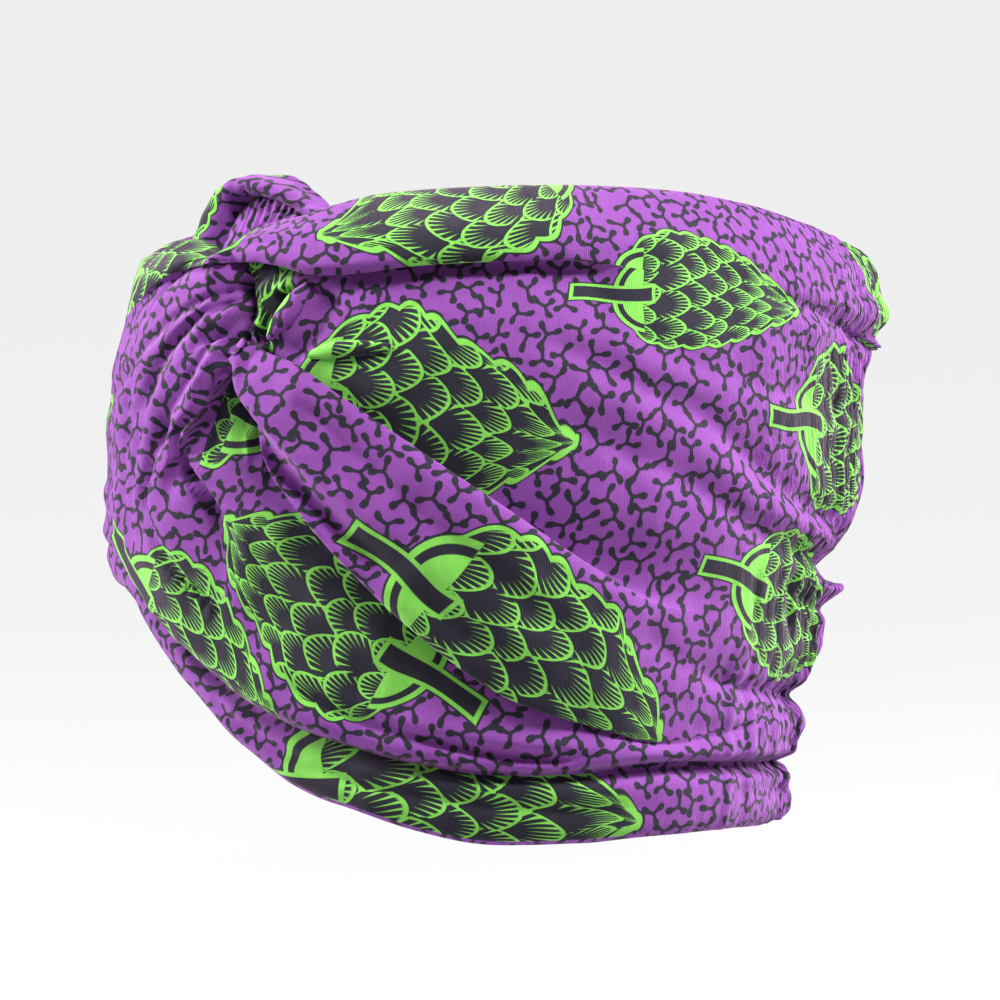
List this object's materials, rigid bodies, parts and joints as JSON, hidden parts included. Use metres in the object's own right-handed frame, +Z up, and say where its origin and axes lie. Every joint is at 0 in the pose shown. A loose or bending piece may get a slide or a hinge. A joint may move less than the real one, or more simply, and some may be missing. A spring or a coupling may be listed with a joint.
{
  "type": "wide twist headband",
  "caption": "Wide cloth headband with a twist over the left temple, pleats that spread from it and gathers at the nape, in the shape it has when worn.",
  "frame": {"origin": "middle of the hollow that the head fills, level with the middle of the forehead panel", "axes": "+Z up through the crown, -Y toward the wearer's front, +X toward the wearer's left, where the twist is"},
  "size_m": [0.1647, 0.1987, 0.1598],
  "materials": {
    "band_cloth": "matt printed stretch jersey",
    "twist_loop_cloth": "matt printed stretch jersey",
    "twist_core_cloth": "matt printed stretch jersey",
    "twist_tuck_cloth": "matt printed stretch jersey",
    "side_pleat_cloth": "matt printed stretch jersey"
  },
  "bodies": {
    "root": {"band": "band_cloth", "twist_loop": "twist_loop_cloth", "twist_core": "twist_core_cloth", "twist_tuck": "twist_tuck_cloth", "side_pleat": "side_pleat_cloth"}
  },
  "joints": []
}
